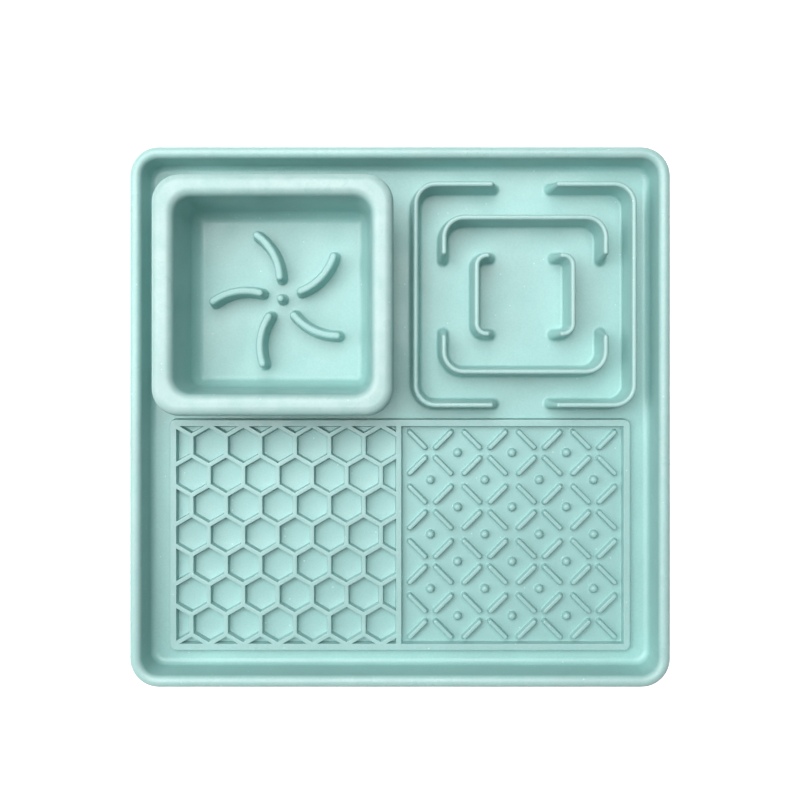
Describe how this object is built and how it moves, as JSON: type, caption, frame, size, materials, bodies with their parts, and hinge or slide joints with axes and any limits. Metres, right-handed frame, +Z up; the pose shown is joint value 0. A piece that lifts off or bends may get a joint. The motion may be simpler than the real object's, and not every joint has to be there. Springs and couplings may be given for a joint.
{
  "type": "pet feeding mat",
  "caption": "Square silicone pet feeding mat: rimmed tray with a moulded slow-feeding maze, a lift-out bowl with a floor swirl, a lift-out lick plate and suction cups below.",
  "frame": {"origin": "on the surface that the suction cups stand on, under the middle of the tray", "axes": "+Z up out of the tray, +Y from the lick plate towards the bowl and the maze, +X from the bowl towards the maze"},
  "size_m": [0.26, 0.26, 0.0469],
  "materials": {
    "tray_silicone": "satin mint silicone",
    "bowl_silicone": "satin mint silicone",
    "plate_silicone": "satin mint silicone",
    "cup_silicone": "smooth mint silicone"
  },
  "bodies": {
    "mat": {"tray": "tray_silicone", "suction_cup_1": "cup_silicone", "suction_cup_2": "cup_silicone", "suction_cup_3": "cup_silicone", "suction_cup_4": "cup_silicone", "suction_cup_5": "cup_silicone", "suction_cup_6": "cup_silicone", "suction_cup_7": "cup_silicone", "suction_cup_8": "cup_silicone", "suction_cup_9": "cup_silicone"},
    "bowl": {"bowl": "bowl_silicone"},
    "lick_plate": {"lick_plate": "plate_silicone"}
  },
  "joints": [
    {"name": "bowl_lift", "type": "slide", "parent": "mat", "child": "bowl", "axis": [0, 0, 1], "range_m": [0, 0.06]},
    {"name": "plate_lift", "type": "slide", "parent": "mat", "child": "lick_plate", "axis": [0, 0, 1], "range_m": [0, 0.04]}
  ]
}
